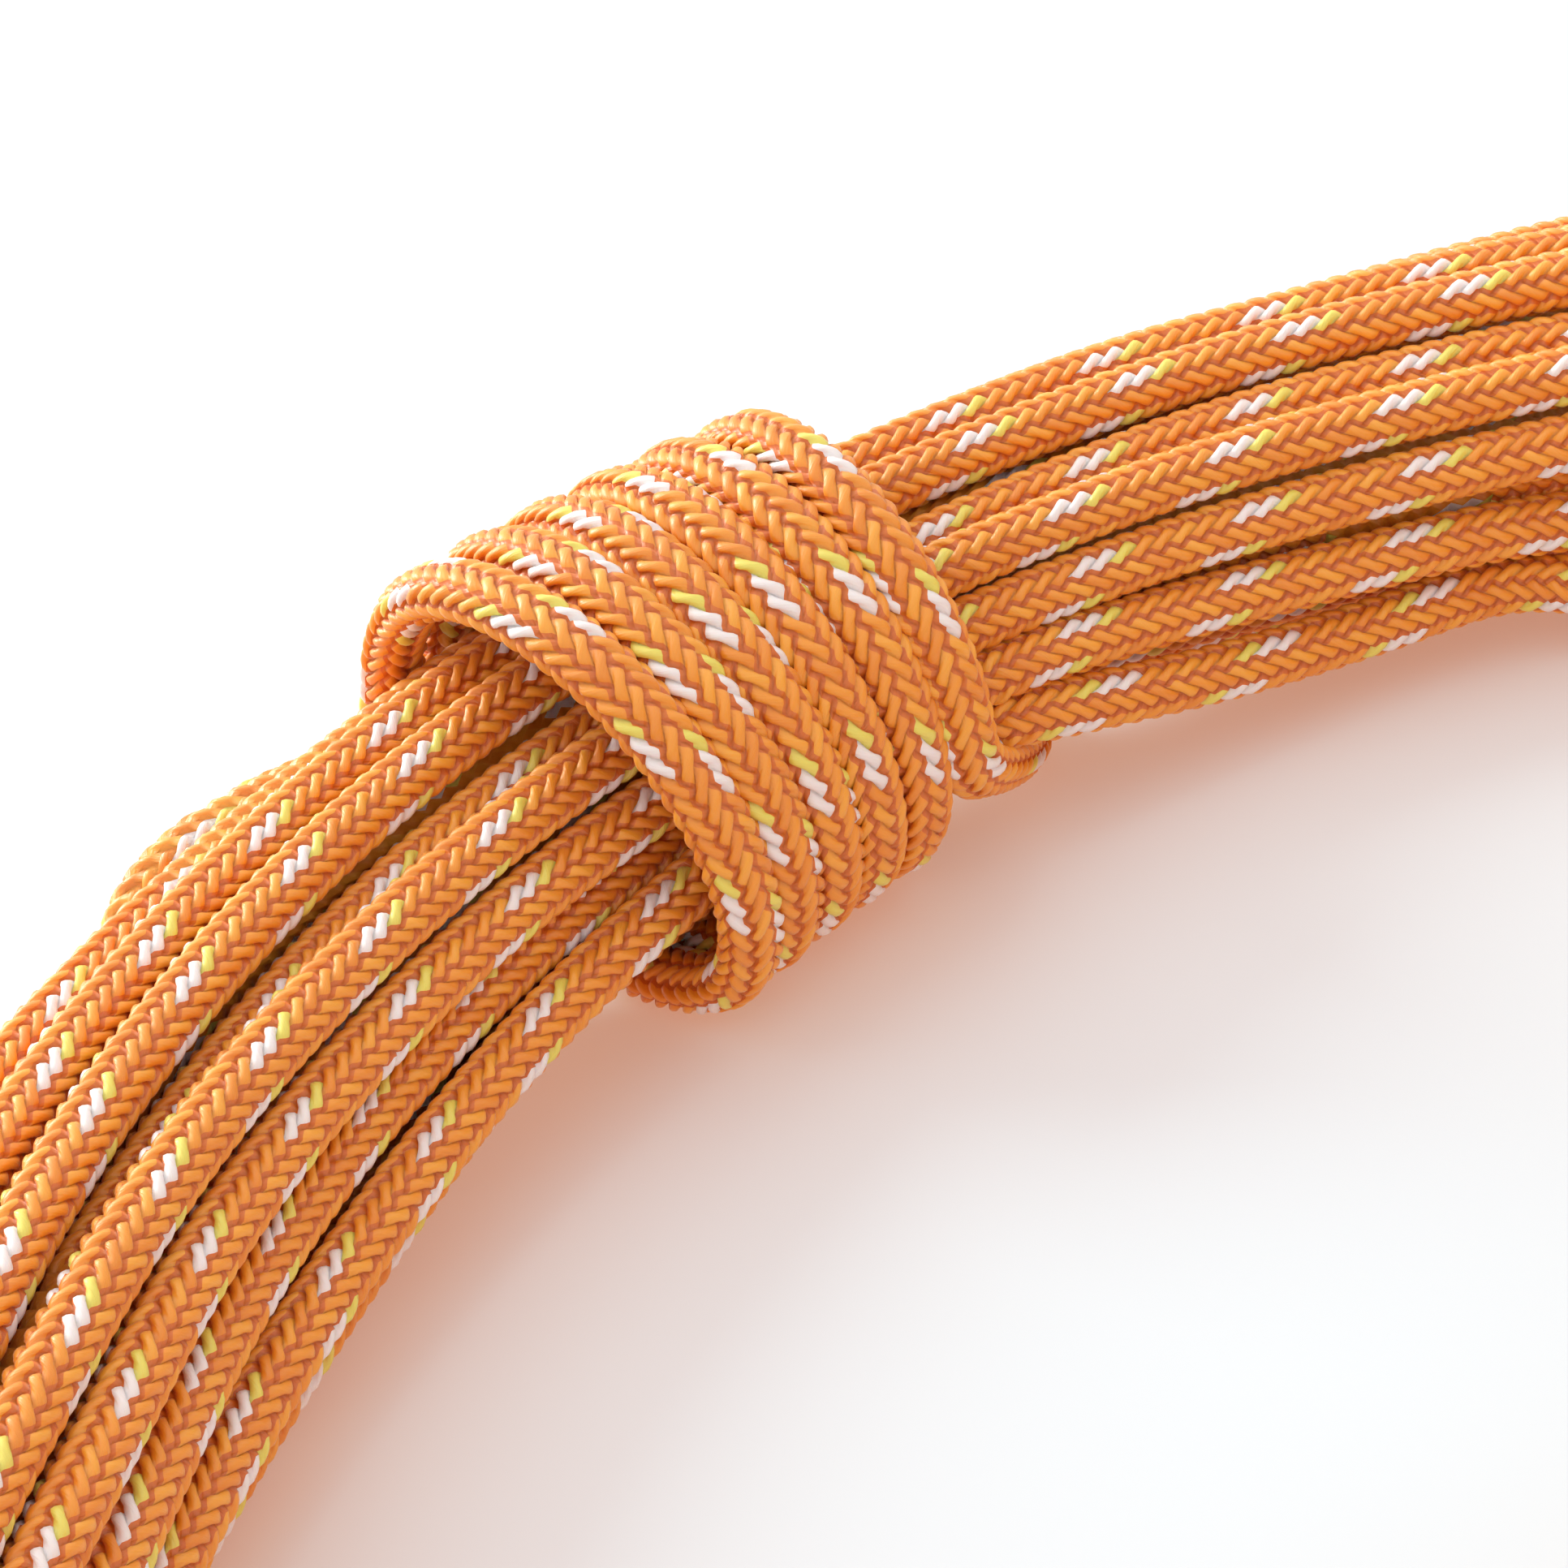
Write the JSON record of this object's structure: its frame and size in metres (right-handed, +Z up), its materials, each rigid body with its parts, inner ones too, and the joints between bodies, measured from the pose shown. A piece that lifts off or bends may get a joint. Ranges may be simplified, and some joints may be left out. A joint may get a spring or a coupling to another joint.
{
  "type": "coiled climbing cord",
  "caption": "Braided kernmantle cord in a rounded ring coil, bound by side-by-side turns of its own end, with a locking bight and two short tails.",
  "frame": {"origin": "middle of the coil's outline, on the surface it lies on", "axes": "+Z up along the ring's axis; the binding stands at the back left, in the middle of the coil's rounder side"},
  "size_m": [0.11, 0.1222, 0.0246],
  "materials": {
    "sheath": "braided orange polyamide sheath with two white and one yellow marker yarn",
    "core": "undyed twisted polyamide core strands",
    "melted_tip": "sheath and core melted together at the cut end"
  },
  "bodies": {
    "root": {"ring_coil": "sheath", "wrap_coil": "sheath", "start_tail_sheath": "sheath", "start_tail_core": "core", "start_tail_tip": "melted_tip", "finish_tail_sheath": "sheath", "finish_tail_core": "core", "finish_tail_tip": "melted_tip", "bight_loop_sheath": "sheath", "bight_loop_core": "core"}
  },
  "joints": []
}
